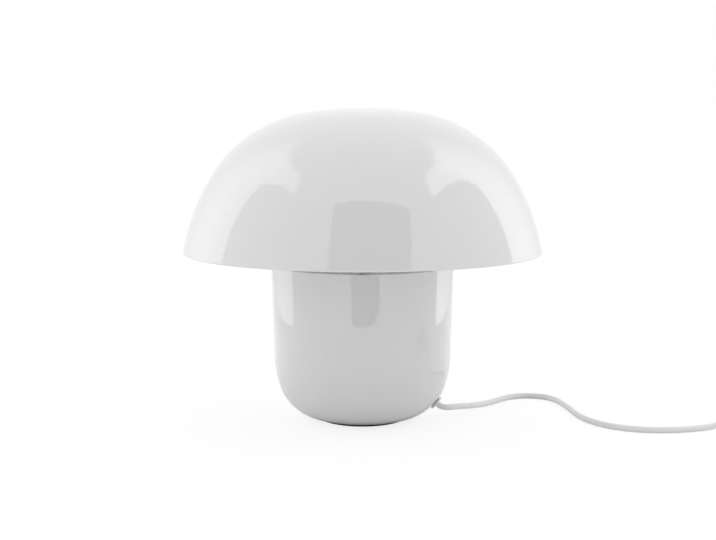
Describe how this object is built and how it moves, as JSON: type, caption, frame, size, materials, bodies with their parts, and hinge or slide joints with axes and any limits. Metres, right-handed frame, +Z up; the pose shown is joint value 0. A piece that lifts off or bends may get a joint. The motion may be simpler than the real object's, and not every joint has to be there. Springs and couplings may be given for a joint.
{
  "type": "mushroom table lamp",
  "caption": "Mushroom table lamp: round dome shade that lifts off a wide stem with a rounded foot, screw-in bulb, corded switch and plug.",
  "frame": {"origin": "on the table plane under the foot, on the axis of the stem and the shade", "axes": "+Z up along the lamp's axis; -Y is the front seen in the picture; the mains cord leaves low on the +X side"},
  "size_m": [0.5793, 0.3107, 0.2615],
  "materials": {
    "white_lacquer": "gloss",
    "zinc_steel": "zinc plated",
    "screw_steel": "zinc plated",
    "cast_iron": "as cast",
    "foot_rubber": "matt foam rubber",
    "silicone": "translucent silicone",
    "holder_plastic": "semi gloss",
    "holder_ceramic": "glazed",
    "brass": "plain",
    "bulb_metal": "rolled",
    "bulb_black": "gloss",
    "bulb_plastic": "satin",
    "bulb_opal": "opal",
    "board": "white solder mask",
    "cord_plastic": "satin sheath",
    "wire_brown": "satin",
    "wire_blue": "satin",
    "fitting_plastic": "semi gloss",
    "rocker_plastic": "gloss",
    "pin_metal": "nickel plated"
  },
  "bodies": {
    "lamp": {"ballast": "cast_iron", "ballast_screws": "screw_steel", "carrier_plate": "zinc_steel", "carrier_rod_1": "zinc_steel", "carrier_rod_2": "zinc_steel", "carrier_rod_3": "zinc_steel", "carrier_seat": "zinc_steel", "centre_contact": "brass", "clamp_bar": "holder_plastic", "clamp_block": "holder_plastic", "clamp_screws": "screw_steel", "cord_coil": "cord_plastic", "cord_grommet": "fitting_plastic", "cord_to_coil": "cord_plastic", "cord_to_plug": "cord_plastic", "cord_to_switch": "cord_plastic", "foot_pad": "foot_rubber", "holder_cap": "holder_plastic", "holder_core": "holder_ceramic", "holder_skirt": "holder_plastic", "holder_thread": "brass", "inner_cord": "cord_plastic", "lid_brackets": "zinc_steel", "lid_screws": "screw_steel", "nipple": "zinc_steel", "nipple_nuts": "zinc_steel", "nipple_washer": "zinc_steel", "plug_body": "fitting_plastic", "plug_pins": "pin_metal", "seat_cushion": "silicone", "stem_lid": "white_lacquer", "stem_shell": "white_lacquer", "switch_base": "fitting_plastic", "switch_contacts": "brass", "switch_cover": "fitting_plastic", "switch_screws": "screw_steel", "terminal_screws": "screw_steel", "wire_blue": "wire_blue", "wire_brown": "wire_brown"},
    "shade_body": {"shade": "white_lacquer", "shade_collar": "zinc_steel"},
    "bulb": {"bulb_contact": "bulb_metal", "bulb_insulator": "bulb_black", "bulb_cap": "bulb_metal", "bulb_housing": "bulb_plastic", "bulb_globe": "bulb_opal", "led_board": "board"},
    "rocker": {"switch_rocker": "rocker_plastic"}
  },
  "joints": [
    {"name": "shade_lift", "type": "slide", "parent": "lamp", "child": "shade_body", "axis": [0, 0, 1], "range_m": [0, 0.12]},
    {"name": "bulb_turn", "type": "hinge", "parent": "lamp", "child": "bulb", "pos_m": [0, 0, 0.19], "axis": [0, 0, 1], "continuous": true},
    {"name": "rocker_press", "type": "hinge", "parent": "lamp", "child": "rocker", "pos_m": [0.35, -0.04, 0.013], "axis": [0, 1, 0], "range_deg": [0, 16]}
  ]
}
